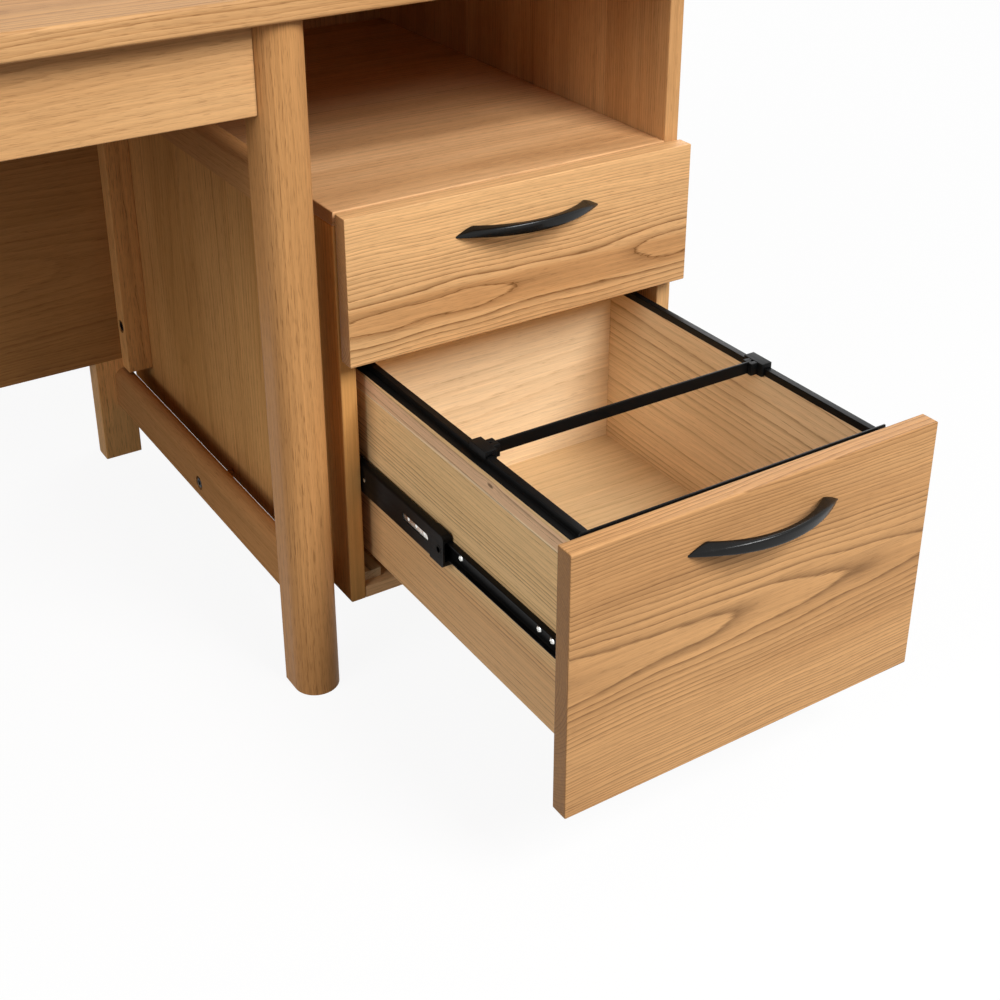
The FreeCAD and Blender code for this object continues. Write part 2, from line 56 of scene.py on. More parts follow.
class Finish:  # a material whose nodes are added by calls that return output sockets
    def __init__(self, name):
        self.material = bpy.data.materials.new(name)
        self.material.use_nodes = True
        self.tree = self.material.node_tree
        self.surface = self.tree.nodes["Principled BSDF"]
        self.place = self.tree.nodes.new("ShaderNodeTexCoord").outputs["Object"]

    def plug(self, socket, value):
        if isinstance(value, bpy.types.NodeSocket):
            self.tree.links.new(value, socket)
        else:
            socket.default_value = value

    def node(self, kind, sockets, **settings):
        made = self.tree.nodes.new("ShaderNode" + kind)
        for key, value in settings.items():
            setattr(made, key, value)
        for key, value in sockets.items():
            self.plug(made.inputs[key], value)
        return made

    def math(self, operation, a, b=0.0, c=0.0):
        return self.node("Math", {0: a, 1: b, 2: c}, operation=operation).outputs[0]

    def vector(self, operation, a, b=(0.0, 0.0, 0.0)):
        made = self.node("VectorMath", {0: a, 1: b}, operation=operation)
        return made.outputs["Value" if operation == "LENGTH" else "Vector"]

    def scaled(self, colour, factor):
        return self.node("VectorMath", {0: colour, "Scale": factor}, operation="SCALE").outputs[0]

    def noise(self, coords, detail=2.0, rough=0.5, scale=1.0):
        return self.node("TexNoise", {"Vector": coords, "Scale": scale, "Detail": detail, "Roughness": rough})

    def lineNoise(self, value, scale, detail=1.0):
        made = self.node("TexNoise", {"Scale": scale, "Detail": detail}, noise_dimensions="1D")
        self.plug(made.inputs["W"], value)
        return made.outputs["Fac"]

    def spread(self, value, low, high, toLow=0.0, toHigh=1.0, smooth=True):
        sockets = {"Value": value, "From Min": low, "From Max": high, "To Min": toLow, "To Max": toHigh}
        kind = "SMOOTHSTEP" if smooth else "LINEAR"
        return self.node("MapRange", sockets, interpolation_type=kind).outputs[0]

    def mix(self, factor, a, b):
        made = self.node("Mix", {0: factor, 6: a, 7: b}, data_type="RGBA")
        return made.outputs[2]

    def random(self, value):
        made = self.node("TexWhiteNoise", {}, noise_dimensions="1D")
        self.plug(made.inputs["W"], value)
        return made.outputs

    def bump(self, height, strength, distance):
        made = self.node("Bump", {"Height": height, "Strength": strength, "Distance": distance})
        self.plug(self.surface.inputs["Normal"], made.outputs[0])


# what a maker would change on every board: the tones and how strongly each part of the grain shows
oakLook = {
    "light": (224, 176, 122), "mid": (198, 147, 95), "dark": (138, 90, 46), "pore": (104, 66, 34),
    "edge": (146, 102, 62), "edgeShare": 0.70, "edgeAxis": None, "start": 0.0,
    "ringWidth": 0.0034, "ringVary": 0.0022, "ringDark": 1.0, "ringLow": 0.50, "thin": 0.40, "ragged": 0.22,
    "wobble": 0.005, "drift": 0.005, "ripple": 0.0004, "wobbleAlong": 3.2, "tilt": 0.022,
    "fibre": 0.10, "poreDark": 0.50, "poreLow": 0.57, "toneAlong": 1.3, "toneAcross": 9.0,
    "gloss": 0.44, "bump": 0.20, "shine": 0.10,
    "strip": 0.0, "stripOn": "a", "stripTone": 0.0, "stripJump": 2.6, "bands": (), "knots": (), "calm": (),
}
# noise cycles per metre: along and across the grain, then over the depth from the pith
grainScale = {"swayAcross": 11.0, "ripple": (13.0, 34.0), "tooth": (45.0, 700.0), "fibre": (7.0, 330.0),
              "fine": (26.0, 1250.0), "pore": (60.0, 1150.0), "spacing": 90.0, "season": 28.0}
# a knot is drawn out along the grain; the rest are shares of its radius, and how dark its core is
knotShape = {"stretch": 0.40, "swellOut": 4.0, "swell": 1.3, "core": 0.4, "coreDark": 0.8}


def oakFinish(name, grain, pith, **changes):
    # Rings are shells round a pith line that leans away along the board; where a face cuts them, arches show.
    # Each ring starts with a sharp dark pore line and fades to pale late wood; fibres and pores run with the
    # grain.
    look = {**oakLook, **changes}
    f = Finish(name)
    axes = f.node("SeparateXYZ", {0: f.place}).outputs
    order = {"x": (0, 1, 2), "y": (1, 0, 2), "z": (2, 0, 1)}[grain]
    along, acrossA, acrossB = [axes[i] for i in order]
    upright = axes[2]
    tone = None
    if look["start"]:  # takes the board from another length of the log
        along = f.math("ADD", along, look["start"])
    if look["strip"]:  # veneer leaves side by side, each from its own place in the log
        share = f.math("DIVIDE", acrossB if look["stripOn"] == "b" else acrossA, look["strip"])
        leaf = f.random(f.math("FLOOR", share))
        local = f.math("MULTIPLY", f.math("SUBTRACT", f.math("FRACT", share), 0.5), look["strip"])
        leafRandom = f.node("SeparateXYZ", {0: leaf["Color"]}).outputs
        local = f.math("ADD", local, f.math("MULTIPLY", leafRandom[0], look["strip"]))
        if look["stripOn"] == "b":
            acrossB = local
        else:
            acrossA = local
        along = f.math("ADD", along, f.math("MULTIPLY", leafRandom[1], look["stripJump"]))
        tone = f.math("MULTIPLY", f.math("SUBTRACT", leafRandom[2], 0.5), look["stripTone"])
    line = f.node("CombineXYZ", {0: along, 1: acrossA, 2: acrossB}).outputs[0]

    def drawn(lengthwise, across, detail=2.0, rough=0.5):
        return f.noise(f.vector("MULTIPLY", line, (lengthwise, across, across)), detail, rough)

    sway = drawn(look["wobbleAlong"], grainScale["swayAcross"]).outputs["Color"]
    sway = f.vector("MULTIPLY", f.vector("SUBTRACT", sway, (0.5, 0.5, 0.5)),
                    (0.0, 2 * look["wobble"], 2 * look["drift"]))
    ripple = drawn(*grainScale["ripple"], 1.0).outputs["Color"]
    ripple = f.scaled(f.vector("SUBTRACT", ripple, (0.5, 0.5, 0.5)), 2 * look["ripple"])
    sway = f.vector("ADD", sway, ripple)
    lean = f.node("CombineXYZ", {0: 0.0, 1: f.math("MULTIPLY", along, look["tilt"]), 2: 0.0}).outputs[0]
    fromPith = f.vector("SUBTRACT", f.vector("ADD", f.vector("ADD", line, sway), lean), (0.0, *pith))
    depth = f.vector("LENGTH", f.vector("MULTIPLY", fromPith, (0.0, 1.0, 1.0)))
    core, k = None, knotShape
    for knotAlong, knotAcross, radius in look["knots"]:  # rings swell round a knot, which has a dark core
        lengthwise = f.math("MULTIPLY", f.math("SUBTRACT", along, knotAlong), k["stretch"])
        place = f.node("CombineXYZ", {0: lengthwise, 1: f.math("SUBTRACT", acrossB, knotAcross),
                                      2: 0.0}).outputs[0]
        off = f.vector("LENGTH", place)
        depth = f.math("ADD", depth, f.spread(off, k["swellOut"] * radius, 0.0, 0.0, k["swell"] * radius))
        spot = f.spread(off, radius, k["core"] * radius)
        core = spot if core is None else f.math("MAXIMUM", core, spot)
    uneven = f.math("SUBTRACT", f.lineNoise(depth, grainScale["spacing"]), 0.5)
    uneven = f.math("MULTIPLY", uneven, 2 * look["ringVary"])
    rings = f.math("DIVIDE", f.math("ADD", depth, uneven), look["ringWidth"])
    # ragged ends of the pore lines
    tooth = f.math("SUBTRACT", drawn(*grainScale["tooth"]).outputs["Fac"], 0.5)
    rings = f.math("ADD", rings, f.math("MULTIPLY", tooth, 2 * look["ragged"]))
    inRing = f.math("FRACT", rings)
    ringRandom = f.random(f.math("FLOOR", rings))["Value"]
    left = f.math("SUBTRACT", 1.0, inRing)
    early = f.math("ADD", f.math("MULTIPLY", f.math("POWER", left, 1.2), 1 - look["thin"]),
                   f.math("MULTIPLY", f.math("POWER", left, 6.0), look["thin"]))
    closing = f.spread(inRing, 0.90, 1.0)
    # runs of strong and of faint years
    season = f.spread(f.lineNoise(depth, grainScale["season"]), 0.35, 0.65, 0.65, 1.0)
    ringDark = f.math("MULTIPLY", f.math("MAXIMUM", early, closing),
                      f.math("MULTIPLY", f.spread(ringRandom, 0.0, 1.0, look["ringLow"], 1.0), season))
    if look["calm"]:  # rings further from the pith are fainter
        near, far, least = look["calm"]
        ringDark = f.math("MULTIPLY", ringDark, f.spread(depth, near, far, 1.0, least))

    fibre = drawn(*grainScale["fibre"], 3.0, 0.6).outputs["Fac"]
    fine = drawn(*grainScale["fine"]).outputs["Fac"]
    pore = drawn(*grainScale["pore"], 1.0).outputs["Fac"]
    pore = f.spread(pore, look["poreLow"], look["poreLow"] + 0.12)
    pore = f.math("MULTIPLY", pore, f.spread(ringDark, 0.0, 1.0, 0.35, 1.0, False))
    cloud = drawn(look["toneAlong"], look["toneAcross"], 3.0).outputs["Fac"]
    cloud = f.spread(cloud, 0.30, 0.70)
    if tone is not None:
        cloud = f.node("Math", {0: cloud, 1: tone}, operation="ADD", use_clamp=True).outputs[0]

    tones = {key: screenColour(*look[key]) for key in ("light", "mid", "dark", "pore", "edge")}
    colour = f.mix(cloud, tones["light"], tones["mid"])
    for middle, half, bandTone, strength in look["bands"]:  # bands of another tone along the board, at given heights
        off = f.math("ADD", upright, f.math("MULTIPLY", f.math("SUBTRACT", cloud, 0.5), 0.5 * half))
        off = f.math("ABSOLUTE", f.math("SUBTRACT", off, middle))
        band = f.math("MULTIPLY", f.spread(off, half, 0.6 * half), strength)
        colour = f.mix(band, colour, screenColour(*bandTone))
    colour = f.mix(f.math("MULTIPLY", ringDark, look["ringDark"]), colour, tones["dark"])
    colour = f.mix(f.math("MULTIPLY", pore, look["poreDark"]), colour, tones["pore"])
    if core is not None:
        colour = f.mix(f.math("MULTIPLY", core, k["coreDark"]), colour, tones["pore"])
    colour = f.scaled(colour, f.spread(fibre, 0.25, 0.75, 1 - look["fibre"], 1 + look["fibre"], False))
    colour = f.scaled(colour, f.spread(fine, 0.25, 0.75, 0.93, 1.07, False))
    # faces along the edge axis take the edge tone: darker end grain on most boards, painted shade on the top
    # front's ends, painted light on the pedestal's left side front edge
    edgeAxis = order[0] if look["edgeAxis"] is None else look["edgeAxis"]
    normal = f.node("NewGeometry", {}).outputs["Normal"]
    facing = f.node("SeparateXYZ", {0: normal}).outputs[edgeAxis]
    edge = f.spread(f.math("ABSOLUTE", facing), 0.55, 0.95, 0.0, look["edgeShare"])
    colour = f.mix(edge, colour, f.scaled(tones["edge"][:3], f.spread(fibre, 0.2, 0.8, 0.82, 1.18, False)))
    f.plug(f.surface.inputs["Base Color"], colour)
    gloss = f.spread(fibre, 0.2, 0.8, look["gloss"] - 0.05, look["gloss"] + 0.10, False)
    f.plug(f.surface.inputs["Roughness"], gloss)
    f.surface.inputs["Specular IOR Level"].default_value = look["shine"]
    relief = f.math("SUBTRACT", f.math("MULTIPLY", fine, 0.35), f.math("MULTIPLY", pore, 0.9))
    relief = f.math("SUBTRACT", relief, f.math("MULTIPLY", ringDark, 0.25))
    f.bump(relief, look["bump"], 0.0005)
    return f.material


def coatedFinish(name, colour, gloss, grainSize, relief, metallic=0.0, specular=0.5, blotch=0.10):
    # paint, zinc or moulded plastic: a fine grain in the surface and slow changes in gloss and tone
    f = Finish(name)
    grain = f.noise(f.place, 2.0, 0.6, 1.0 / grainSize).outputs["Fac"]
    slow = f.noise(f.place, 3.0, 0.6, 38.0).outputs["Fac"]
    wear = f.noise(f.vector("MULTIPLY", f.place, (140.0, 26.0, 140.0)), 3.0, 0.65).outputs["Fac"]
    base = screenColour(*colour)
    shade = f.spread(f.math("ADD", f.math("MULTIPLY", slow, 0.6), f.math("MULTIPLY", grain, 0.4)),
                     0.3, 0.7, 1 - 2 * blotch, 1 + 2 * blotch, False)
    f.plug(f.surface.inputs["Base Color"], f.scaled(base[:3], shade))
    gloss = f.math("ADD", f.spread(wear, 0.3, 0.7, gloss - 0.07, gloss + 0.07, False),
                   f.spread(grain, 0.3, 0.7, -0.04, 0.04, False))
    f.plug(f.surface.inputs["Roughness"], gloss)
    f.surface.inputs["Metallic"].default_value = metallic
    f.surface.inputs["Specular IOR Level"].default_value = specular
    f.bump(grain, relief, 0.0004)
    return f.material


# pith places are (first, second) cross-grain coordinates in the order that oakFinish takes them
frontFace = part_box("top_drawer_front")[0].y
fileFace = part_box("file_drawer_front")[0].y
boxSide = {"light": (248, 214, 162), "mid": (230, 192, 138), "dark": (92, 62, 32), "pore": (84, 58, 32),
           "ringDark": 0.95, "ringLow": 0.1, "ringWidth": 0.0042, "ringVary": 0.0028, "thin": 0.82,
           "ragged": 0.12, "poreLow": 0.60, "wobble": 0.003, "gloss": 0.50, "edgeShare": 0.3}
# darker, lower-contrast copy of the drawer side wood: painted shade for the file drawer's inner right wall;
# the top drawer's sides and the bottom cleats share it
paintedShadeSide = {**boxSide, "light": (230, 200, 158), "mid": (214, 182, 138), "dark": (140, 104, 66)}
heartBoard = {"ringWidth": 0.0030, "ringVary": 0.0018, "ringLow": 0.55, "ragged": 0.10, "drift": 0.010,
              "fibre": 0.14}
caseBoard = {"ringDark": 0.5, "ringWidth": 0.0036}
legWood = {"ringWidth": 0.006, "ringDark": 0.34, "tilt": 0.01, "poreLow": 0.54, "poreDark": 0.66}
boxCross = {"pore": (150, 112, 70), "ringDark": 0.45, "ringLow": 0.0, "ringWidth": 0.007, "thin": 0.7,
            "poreLow": 0.62, "gloss": 0.50, "edgeShare": 0.2}
finishes = {
    # the top front's end edges take a darker tone than plain end grain: real end grain plus painted shade on
    # the left end beside the leg
    "topFrontOak": oakFinish("topFrontOak", "x", (frontFace + 0.0620, 0.428), tilt=0.004, wobble=0.0080,
                             start=1.6, light=(238, 188, 131), mid=(216, 166, 113), dark=(120, 78, 40),
                             edge=(116, 80, 46), calm=(0.070, 0.110, 0.65), thin=0.55,
                             bands=((0.428, 0.020, (192, 138, 86), 0.60),), **heartBoard),
    "fileFrontOak": oakFinish("fileFrontOak", "x", (fileFace + 0.0768, 0.247), tilt=-0.020, wobble=0.0045,
                              start=0.14, light=(222, 170, 115), mid=(197, 146, 95), dark=(66, 34, 11),
                              edge=(126, 92, 60), calm=(0.085, 0.125, 0.75), thin=0.66, **heartBoard),
    "desktopOak": oakFinish("desktopOak", "x", (0.06, 0.690), strip=0.172, stripOn="a", stripTone=0.5,
                            ringWidth=0.0036),
    "apronOak": oakFinish("apronOak", "x", (0.30, 0.50), **caseBoard),
    # the modesty panel takes darker tones than the other oak: painted shade for its place under the desktop
    "modestyPaintedShadeOak": oakFinish("modestyPaintedShadeOak", "x", (0.40, 0.05), strip=0.180, stripOn="b", stripTone=0.4,
                            light=(186, 136, 82), mid=(168, 120, 68), dark=(116, 76, 38), **caseBoard),
    "legOak": oakFinish("legOak", "z", (0.90, -0.95), light=(200, 147, 92), mid=(178, 126, 74), **legWood),
    # a lighter copy of the leg oak: painted light on the rear legs and the modesty cleat, which stand in the
    # desk's shade
    "rearLegPaintedLightOak": oakFinish("rearLegPaintedLightOak", "z", (0.90, -0.95), light=(240, 184, 118), mid=(220, 164, 100),
                            shine=0.03, **legWood),
    "railOak": oakFinish("railOak", "y", (0.90, -0.60), light=(198, 146, 94), mid=(180, 130, 80),
                         ringWidth=0.006, ringDark=0.30, poreDark=0.45, tilt=0.01, shine=0.0),
    # a yellower, slightly lighter copy of the case oak for the pedestal's left side in the desk's shade; its
    # front edge takes a light tan tone where the real banding is darker: painted light
    "caseLeftPaintedLightOak": oakFinish("caseLeftPaintedLightOak", "z", (0.25, 0.08), strip=0.150, stripOn="b", stripTone=0.4,
                             edge=(204, 150, 88), edgeAxis=1, shine=0.0, light=(228, 174, 110),
                             mid=(208, 155, 93), dark=(140, 94, 50), **caseBoard),
    "caseRightOak": oakFinish("caseRightOak", "z", (0.95, -0.50), strip=0.150, stripOn="b", stripTone=0.4,
                              shine=0.05, **caseBoard),
    "caseBackOak": oakFinish("caseBackOak", "z", (0.08, 0.62), strip=0.150, stripOn="a", stripTone=0.4,
                             **caseBoard),
    "caseTopOak": oakFinish("caseTopOak", "x", (0.09, 0.45), strip=0.205, stripOn="a", stripTone=0.35,
                            light=(238, 190, 138), mid=(216, 165, 113), **caseBoard),
    "boxSidePaintedShadeWood": oakFinish("boxSidePaintedShadeWood", "y", (0.20, 0.56), **paintedShadeSide),
    # the file drawer's left side: a pale pink band along its top, a thin cream line along that band's lower
    # edge, and a broad tan band lower down
    "fileSideWood": oakFinish("fileSideWood", "y", (0.20, 0.56), knots=((-0.345, 0.3450, 0.0026),),
                              bands=((0.3445, 0.0105, (226, 186, 152), 0.75),
                                     (0.3340, 0.0016, (250, 226, 188), 0.7),
                                     (0.1700, 0.0700, (210, 162, 112), 0.75)), **boxSide),
    "boxCrossWood": oakFinish("boxCrossWood", "x", (-0.60, 0.50), light=(248, 222, 182),
                              mid=(238, 208, 166), dark=(186, 144, 94), **boxCross),
    # the drawer bottoms take darker tones than the cross boards' wood: painted shade for the inside of the
    # open drawer
    "boxFloorPaintedShadeWood": oakFinish("boxFloorPaintedShadeWood", "x", (-0.60, 0.50), light=(226, 194, 148),
                              mid=(210, 176, 128), dark=(164, 126, 80), **boxCross),
    "blackSteel": coatedFinish("blackSteel", (13, 13, 13), 0.38, 0.0009, 0.10, specular=0.09),
    "handleBlack": coatedFinish("handleBlack", (9, 9, 8), 0.22, 0.0006, 0.012, specular=0.27),
    "blackPlastic": coatedFinish("blackPlastic", (13, 13, 13), 0.48, 0.0005, 0.14, specular=0.10),
    "brightZinc": coatedFinish("brightZinc", (236, 236, 232), 0.32, 0.0008, 0.08, metallic=1.0),
}

boardFinishes = {
    "desktopOak": ["desktop"],
    "apronOak": ["front_apron", "rear_apron"],
    "modestyPaintedShadeOak": ["modesty_panel"],
    "legOak": ["left_front_leg", "right_front_leg", "pedestal_feet"],
    "rearLegPaintedLightOak": ["left_rear_leg", "right_rear_leg", "modesty_cleat"],
    "railOak": ["left_lower_rail", "right_lower_rail", "left_mid_rail", "right_mid_rail", "left_top_rail",
                "right_top_rail"],
    "caseLeftPaintedLightOak": ["pedestal_left_side"],
    "caseRightOak": ["pedestal_right_side"],
    "caseBackOak": ["pedestal_back"],
    "caseTopOak": ["pedestal_top", "pedestal_bottom", "pedestal_divider"],
    "topFrontOak": ["top_drawer_front"],
    "fileFrontOak": ["file_drawer_front"],
    "boxSidePaintedShadeWood": ["top_drawer_left_side", "top_drawer_right_side", "file_drawer_right_side",
                    "bottom_cleats"],
    "fileSideWood": ["file_drawer_left_side"],
    "boxCrossWood": ["top_drawer_inner_front", "top_drawer_back", "file_drawer_inner_front",
                     "file_drawer_back"],
    "boxFloorPaintedShadeWood": ["top_drawer_bottom", "file_drawer_bottom"],
}
for finishName, members in boardFinishes.items():
    for member in members:
        nodes[member].data.materials.clear()
        nodes[member].data.materials.append(finishes[finishName])
print("finishes on the boards:", sum(len(m) for m in boardFinishes.values()))


def loopShell(rings):
    # rings is (stations, around, 3): quads join each station to the next and wrap round, and flat caps close
    # the ends
    stations, around = rings.shape[:2]
    index = np.arange(stations * around).reshape(stations, around)
    beside = np.roll(index, -1, axis=1)
    quads = np.stack([index[:-1], beside[:-1], beside[1:], index[1:]], axis=-1).reshape(-1, 4)
    return rings.reshape(-1, 3), quads.tolist() + [index[0][::-1].tolist(), index[-1].tolist()]


def makePiece(name, shells, finish, body, stands=(), sharp=32):
    counts = np.cumsum([0] + [len(points) for points, _ in shells])
    points = np.concatenate([points for points, _ in shells])
    faces = [[i + int(start) for i in face] for start, (_, polys) in zip(counts, shells) for face in polys]
    mesh = bpy.data.meshes.new(name)
    mesh.from_pydata(points.tolist(), [], faces)
    shell = bmesh.new()
    shell.from_mesh(mesh)
    bmesh.ops.recalc_face_normals(shell, faces=shell.faces)
    shell.to_mesh(mesh)
    shell.free()
    mesh.polygons.foreach_set("use_smooth", np.ones(len(mesh.polygons), bool))
    mesh.set_sharp_from_angle(angle=math.radians(sharp))
    mesh.materials.append(finishes[finish])
    piece = bpy.data.objects.new(name, mesh)
    scene.collection.objects.link(piece)
    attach(piece, body)
    if stands:
        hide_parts(*stands)
    return piece


def roundedLine(corners, radius, closed=False, steps=6):
    # each corner becomes a quadratic curve that leaves and joins the straight runs one radius away from it
    p = np.array(corners, float)
    toLast, toNext = np.roll(p, 1, 0) - p, np.roll(p, -1, 0) - p
    runLast, runNext = np.linalg.norm(toLast, axis=1), np.linalg.norm(toNext, axis=1)
    most = 0.45  # of the shorter run
    r = np.minimum(radius, most * np.minimum(runLast, runNext))
    start = p + toLast * (r / runLast)[:, None]
    end = p + toNext * (r / runNext)[:, None]
    t = np.linspace(0, 1, steps)[None, :, None]
    curve = (1 - t) ** 2 * start[:, None] + 2 * t * (1 - t) * p[:, None] + t ** 2 * end[:, None]
    return curve.reshape(-1, 2) if closed else np.concatenate([p[:1], curve[1:-1].reshape(-1, 2), p[-1:]])


def sheetLoop(corners, radius, sheet):
    # a bent sheet seen from its end: its middle line is rounded, and the loop runs half a sheet to each side
    line = roundedLine(corners, radius)
    step = np.gradient(line, axis=0)
    side = np.stack([-step[:, 1], step[:, 0]], axis=1) / np.linalg.norm(step, axis=1)[:, None]
    return np.concatenate([line + side * sheet / 2, (line - side * sheet / 2)[::-1]])


def stood(sections, run, along):
    # sections is (stations, around, 2) in mm: across and z; the run gives each station's place along x or y
    far = np.broadcast_to(np.asarray(run, float)[:, None], sections.shape[:2])
    across, up = sections[..., 0], sections[..., 1]
    return np.stack([across, far, up] if along == "y" else [far, across, up], axis=-1) * mm


def carried(loop, run, along):
    # one section carried straight along its run
    return loopShell(stood(np.broadcast_to(loop, (len(run), *loop.shape)), run, along))


def easedBar(loop, low, high, along, ease=0.5):
    # a section carried from low to high, with eased ends: the end sections are drawn in along their normals
    step = np.roll(loop, -1, 0) - np.roll(loop, 1, 0)
    length = np.maximum(np.linalg.norm(step, axis=1), 1e-9)[:, None]
    normal = np.stack([step[:, 1], -step[:, 0]], axis=1) / length
    area = np.sum(loop[:, 0] * np.roll(loop[:, 1], -1) - loop[:, 1] * np.roll(loop[:, 0], -1))
    turn = np.linspace(0, 0.5 * np.pi, 4)
    draw = np.concatenate([1 - np.sin(turn), (1 - np.sin(turn))[::-1]]) * ease
    run = np.concatenate([low + ease * (1 - np.cos(turn)), high - ease * (1 - np.cos(turn))[::-1]])
    sections = loop[None] - np.sign(area) * draw[:, None, None] * normal[None]
    return loopShell(stood(sections, run, along))


def mirrorShell(shell, middle):
    points, faces = shell
    return points * (-1, 1, 1) + (2 * middle, 0, 0), faces


def bothSides(shells, middle):  # the left hand shells and their mirror images
    return shells + [mirrorShell(shell, middle) for shell in shells]


def boxMm(node):  # a node's lowest and highest corners in mm
    low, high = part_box(node)
    return np.array(low) / mm, np.array(high) / mm


bowHandle = {"half": 87.0, "reach": 29.0, "innerHalf": 67.0, "innerReach": 21.0, "tall": 12.0, "square": 4.0,
             "frontFall": 9.2, "frontPower": 2.6, "tipFrom": 0.78, "tipFall": 9.6, "tipPower": 1.4,
             "tipThin": 0.35, "lowRise": 0.5, "stations": 121, "around": 64, "sharp": 50}


def bowShell(middle, face, z):
    # Seen from above the bow lies between two arcs, and its section is a squarish superellipse as deep as the
    # gap between them. Its under side is nearly straight; along the front its top falls slowly to the tips,
    # and along the back it stays up until the last stretch, so that the top twists and both ends run out low.
    b = bowHandle
    t = np.linspace(-1.0, 1.0, b["stations"])
    x = b["half"] * np.sin(0.5 * np.pi * t)

    def arc(half, reach):
        radius = (half ** 2 + reach ** 2) / (2 * reach)
        return reach - radius + np.sqrt(np.maximum(radius ** 2 - x ** 2, 0.0))

    outer = np.maximum(arc(b["half"], b["reach"]), b["tipThin"])
    inner = np.maximum(arc(b["innerHalf"], b["innerReach"]), 0.0)
    s = np.abs(x) / b["half"]
    pastFrom = np.clip((s - b["tipFrom"]) / (1 - b["tipFrom"]), 0, 1)
    low = (-0.5 * b["tall"] + b["lowRise"] * s ** 2)[:, None]
    highFront = (0.5 * b["tall"] - b["frontFall"] * s ** b["frontPower"])[:, None]
    highBack = (0.5 * b["tall"] - b["tipFall"] * pastFrom ** b["tipPower"])[:, None]
    angle = np.linspace(0, 2 * np.pi, b["around"], endpoint=False)
    side = (np.sign(np.cos(angle)) * np.abs(np.cos(angle)) ** (2 / b["square"]))[None]
    rise = (np.sign(np.sin(angle)) * np.abs(np.sin(angle)) ** (2 / b["square"]))[None]
    out = 0.5 * (outer + inner)[:, None] + 0.5 * (outer - inner)[:, None] * side
    high = highBack + (highFront - highBack) * 0.5 * (1 + side)
    up = 0.5 * (high + low) + 0.5 * (high - low) * rise
    alongX = np.broadcast_to(x[:, None], out.shape)
    return loopShell(np.stack([middle + mm * alongX, face - mm * out, z + mm * up], axis=-1))


for handleNode, body, face in (("top_drawer_handle", "top_drawer", frontFace),
                               ("file_drawer_handle", "file_drawer", fileFace)):
    low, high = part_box(handleNode)
    shell = bowShell(0.5 * (low.x + high.x), face, 0.5 * (low.z + high.z))
    makePiece(body + "_bow", [shell], "handleBlack", body, [handleNode],
              bowHandle["sharp"])
print("bow handles made")


def axesFor(out):  # two directions square to the way a fastener points
    out = np.array(out, float)
    first = np.cross(out, (0.0, 1.0, 0.0) if abs(out[1]) < 0.9 else (0.0, 0.0, 1.0))
    return first, np.cross(out, first), out


def turnedShell(at, out, radii, heights, shape=None, around=48):
    # a turned fastener: row by row a circle of given radius and height, which shape() changes for a tool
    angle = np.linspace(0, 2 * np.pi, around, endpoint=False)
    radii, heights = np.asarray(radii, float)[:, None], np.asarray(heights, float)[:, None]
    if shape is not None:
        radii, heights = shape(radii, heights, angle[None])
    first, second, out = axesFor(out)
    flat = radii * np.cos(angle), radii * np.sin(angle), heights + 0 * angle
    points = np.asarray(at, float) + sum(f[..., None] * axis for f, axis in zip(flat, (first, second, out)))
    return loopShell(points * mm)


screwHead = {"radius": 3.5, "tall": 2.0, "recess": 2.1, "arm": 0.42, "deep": 0.85, "armFade": 0.3,
             "endFade": 0.5}


def crossCut(radii, heights, angle):
    # the cross recess: two arms, each falling off over a small width, sunk into the dome
    u, v = np.abs(radii * np.cos(angle)), np.abs(radii * np.sin(angle))
    b = screwHead
    narrow, wide = np.minimum(u, v), np.maximum(u, v)
    cut = np.clip((b["arm"] + b["armFade"] / 2 - narrow) / b["armFade"], 0, 1)
    cut = cut * np.clip((b["recess"] - wide) / b["endFade"], 0, 1)
    return radii + 0 * angle, heights - b["deep"] * cut


def domedScrew(at, out, height=screwHead["tall"]):
    # a pan head: the height falls off with the fourth power of the radius, down to an upright rim
    share = np.concatenate([[0.02], np.linspace(0.08, 0.70, 12), np.linspace(0.78, 1.0, 5), [1.0]])
    rise = height * (0.42 + 0.58 * (1 - share ** 4))
    rise[-1] = 0.0
    return turnedShell(at, out, share * screwHead["radius"], rise, crossCut)


socketBolt = {"head": 6.5, "tall": 8.0, "chamfer": 0.7, "hexagon": 3.4, "deep": 4.0, "land": 0.8,
              "lead": 0.25, "leadDeep": 0.3, "tip": 1.2, "tipRadius": 0.2}


def hexSocket(radii, heights, angle):
    # three rows follow a hexagon: its radius is the flat's distance over the cosine of the angle to the flat
    sixth = np.pi / 3
    flat = np.cos(sixth / 2) / np.cos((angle % sixth) - sixth / 2)
    blend = np.array([0, 0, 0, 0, 1, 1, 1, 0.0])[:, None]
    return radii * (1 + blend * (flat - 1)), heights + 0 * angle


def socketHead(at, out):
    b = socketBolt
    radii = [b["head"], b["head"], b["head"] - b["chamfer"], b["hexagon"] + b["land"],
             b["hexagon"] + b["lead"], b["hexagon"], b["hexagon"], b["tipRadius"]]
    heights = [0, b["tall"] - b["chamfer"], b["tall"], b["tall"], b["tall"],
               b["tall"] - b["leadDeep"], b["tall"] - b["deep"], b["tall"] - b["deep"] - b["tip"]]
    return turnedShell(at, out, radii, heights, hexSocket)


frontLow, frontHigh = boxMm("top_drawer_front")
middleX = 0.5 * (frontLow[0] + frontHigh[0])

